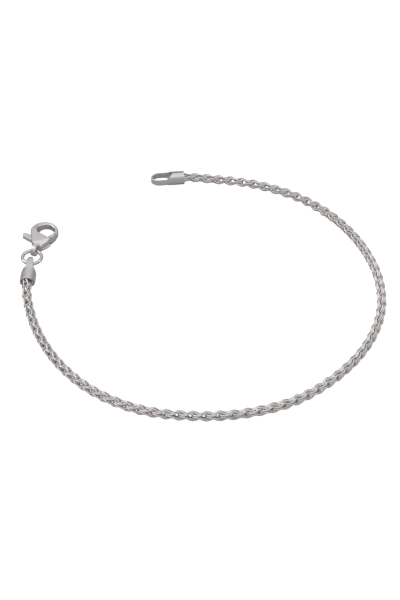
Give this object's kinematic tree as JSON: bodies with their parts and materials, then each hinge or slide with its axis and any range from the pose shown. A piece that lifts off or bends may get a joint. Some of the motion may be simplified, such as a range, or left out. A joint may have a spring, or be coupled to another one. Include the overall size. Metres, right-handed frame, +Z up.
{
  "type": "wheat chain bracelet",
  "caption": "Silver wheat chain bracelet lying open, with folded end caps, a jump ring and a lobster clasp whose sprung lever opens.",
  "frame": {"origin": "middle of the bracelet's box on the surface it lies on", "axes": "+Z up from the surface, +Y towards the cap end and the clasp, +X to the right with the clasp on the left"},
  "size_m": [0.0748, 0.0716, 0.0032],
  "materials": {
    "chain_silver": "bright drawn silver wire with dark tarnish between the links",
    "cap_silver": "polished pressed silver strip",
    "ring_silver": "polished silver wire",
    "clasp_silver": "cast silver, polished to a soft sheen",
    "pin_silver": "plain silver pin"
  },
  "bodies": {
    "bracelet": {"chain": "chain_silver", "end_cap_near": "cap_silver", "end_cap_far": "cap_silver", "jump_ring": "ring_silver", "clasp_body": "clasp_silver", "clasp_pin": "pin_silver"},
    "lever": {"clasp_lever": "clasp_silver"}
  },
  "joints": [
    {"name": "lever_open", "type": "hinge", "parent": "bracelet", "child": "lever", "pos_m": [-0.03348, 0.01361, 0.00125], "axis": [0, 0, 1], "range_deg": [0, 22], "stiffness_Nm_per_rad": 0.006, "springref_deg": -11.46}
  ]
}
